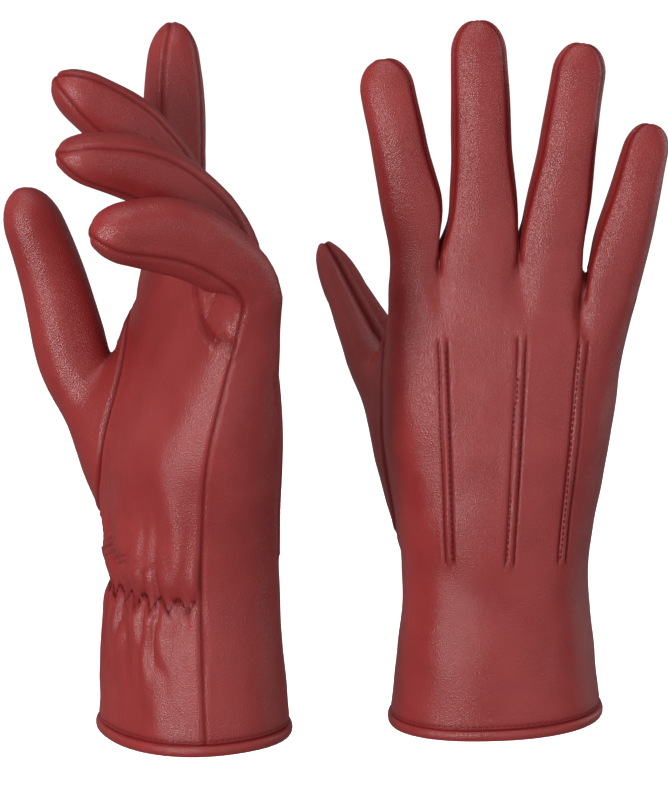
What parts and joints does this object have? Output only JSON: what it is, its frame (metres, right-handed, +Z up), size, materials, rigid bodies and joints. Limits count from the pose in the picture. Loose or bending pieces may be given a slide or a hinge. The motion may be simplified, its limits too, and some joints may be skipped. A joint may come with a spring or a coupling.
{
  "type": "pair of leather gloves",
  "caption": "Pair of lined leather driving gloves with raised points on the backs, fourchettes, set-in thumbs, elastic wrists and bound hems.",
  "frame": {"origin": "centre of the right glove's wrist opening, level with the lowest point of its hem", "axes": "+Z up along the glove to the fingertips, +Y out of the right glove's palm, -X to its thumb side"},
  "size_m": [0.2128, 0.1735, 0.2369],
  "materials": {
    "leather": "satin",
    "lining": "matte",
    "elastic": "matte",
    "thread": "satin"
  },
  "bodies": {
    "right_hand": {"right_back_panel": "leather", "right_palm_panel": "leather", "right_thumb_gusset": "leather", "right_thumb_quirk": "leather", "right_knuckle_leather": "leather", "right_cuff_binding": "leather", "right_hand_lining": "lining", "right_wrist_elastic": "elastic", "right_points": "leather", "right_topstitching": "thread", "right_zigzag_stitch": "thread"},
    "right_index": {"right_index_back": "leather", "right_index_palm": "leather", "right_index_fourchettes": "leather", "right_index_lining": "lining"},
    "right_middle": {"right_middle_back": "leather", "right_middle_palm": "leather", "right_middle_fourchettes": "leather", "right_middle_lining": "lining"},
    "right_ring": {"right_ring_back": "leather", "right_ring_palm": "leather", "right_ring_fourchettes": "leather", "right_ring_lining": "lining"},
    "right_little": {"right_little_back": "leather", "right_little_palm": "leather", "right_little_fourchettes": "leather", "right_little_lining": "lining"},
    "right_thumb": {"right_thumb_leather": "leather", "right_thumb_lining": "lining"},
    "left_hand": {"left_back_panel": "leather", "left_palm_panel": "leather", "left_thumb_gusset": "leather", "left_thumb_quirk": "leather", "left_knuckle_leather": "leather", "left_cuff_binding": "leather", "left_hand_lining": "lining", "left_wrist_elastic": "elastic", "left_points": "leather", "left_topstitching": "thread", "left_zigzag_stitch": "thread"},
    "left_index": {"left_index_back": "leather", "left_index_palm": "leather", "left_index_fourchettes": "leather", "left_index_lining": "lining"},
    "left_middle": {"left_middle_back": "leather", "left_middle_palm": "leather", "left_middle_fourchettes": "leather", "left_middle_lining": "lining"},
    "left_ring": {"left_ring_back": "leather", "left_ring_palm": "leather", "left_ring_fourchettes": "leather", "left_ring_lining": "lining"},
    "left_little": {"left_little_back": "leather", "left_little_palm": "leather", "left_little_fourchettes": "leather", "left_little_lining": "lining"},
    "left_thumb": {"left_thumb_leather": "leather", "left_thumb_lining": "lining"}
  },
  "joints": [
    {"name": "right_index_knuckle", "type": "hinge", "parent": "right_hand", "child": "right_index", "pos_m": [-0.02655, -0.006, 0.163], "axis": [-0.9816, 0, -0.1908], "range_deg": [-10, 60], "deforming": ["right_knuckle_leather"]},
    {"name": "right_middle_knuckle", "type": "hinge", "parent": "right_hand", "child": "right_middle", "pos_m": [-0.00535, -0.006, 0.163], "axis": [-0.999, 0, -0.0436], "range_deg": [-10, 74], "deforming": ["right_knuckle_leather"]},
    {"name": "right_ring_knuckle", "type": "hinge", "parent": "right_hand", "child": "right_ring", "pos_m": [0.0161, -0.006, 0.163], "axis": [-0.9914, 0, 0.1305], "range_deg": [-10, 74], "deforming": ["right_knuckle_leather"]},
    {"name": "right_little_knuckle", "type": "hinge", "parent": "right_hand", "child": "right_little", "pos_m": [0.03655, -0.006, 0.151], "axis": [-0.9781, 0, 0.2079], "range_deg": [-10, 74], "deforming": ["right_knuckle_leather"]},
    {"name": "right_thumb_joint", "type": "hinge", "parent": "right_hand", "child": "right_thumb", "pos_m": [-0.039, 0.024, 0.12], "axis": [0, 0.7324, -0.6808], "range_deg": [-15, 25], "deforming": ["right_knuckle_leather"]},
    {"name": "left_index_knuckle", "type": "hinge", "parent": "left_hand", "child": "left_index", "pos_m": [-0.10671, -0.02162, 0.174], "axis": [0.4456, -0.8746, 0.1908], "range_deg": [-4, 45], "deforming": ["left_knuckle_leather"]},
    {"name": "left_middle_knuckle", "type": "hinge", "parent": "left_hand", "child": "left_middle", "pos_m": [-0.09708, -0.04051, 0.174], "axis": [0.4536, -0.8902, 0.0436], "range_deg": [-33, 40], "deforming": ["left_knuckle_leather"]},
    {"name": "left_ring_knuckle", "type": "hinge", "parent": "left_hand", "child": "left_ring", "pos_m": [-0.08735, -0.05962, 0.174], "axis": [0.4501, -0.8834, -0.1305], "range_deg": [-49, 24], "deforming": ["left_knuckle_leather"]},
    {"name": "left_little_knuckle", "type": "hinge", "parent": "left_hand", "child": "left_little", "pos_m": [-0.07806, -0.07784, 0.162], "axis": [0.4441, -0.8715, -0.2079], "range_deg": [-56, 17], "deforming": ["left_knuckle_leather"]},
    {"name": "left_thumb_joint", "type": "hinge", "parent": "left_hand", "child": "left_thumb", "pos_m": [-0.13909, -0.02415, 0.131], "axis": [0.878, 0.4474, 0.1702], "range_deg": [-20, 12], "deforming": ["left_knuckle_leather"]},
    {"name": "left_glove_apart", "type": "slide", "parent": "right_hand", "child": "left_hand", "axis": [-1, 0, 0], "range_m": [0, 0.15]}
  ]
}
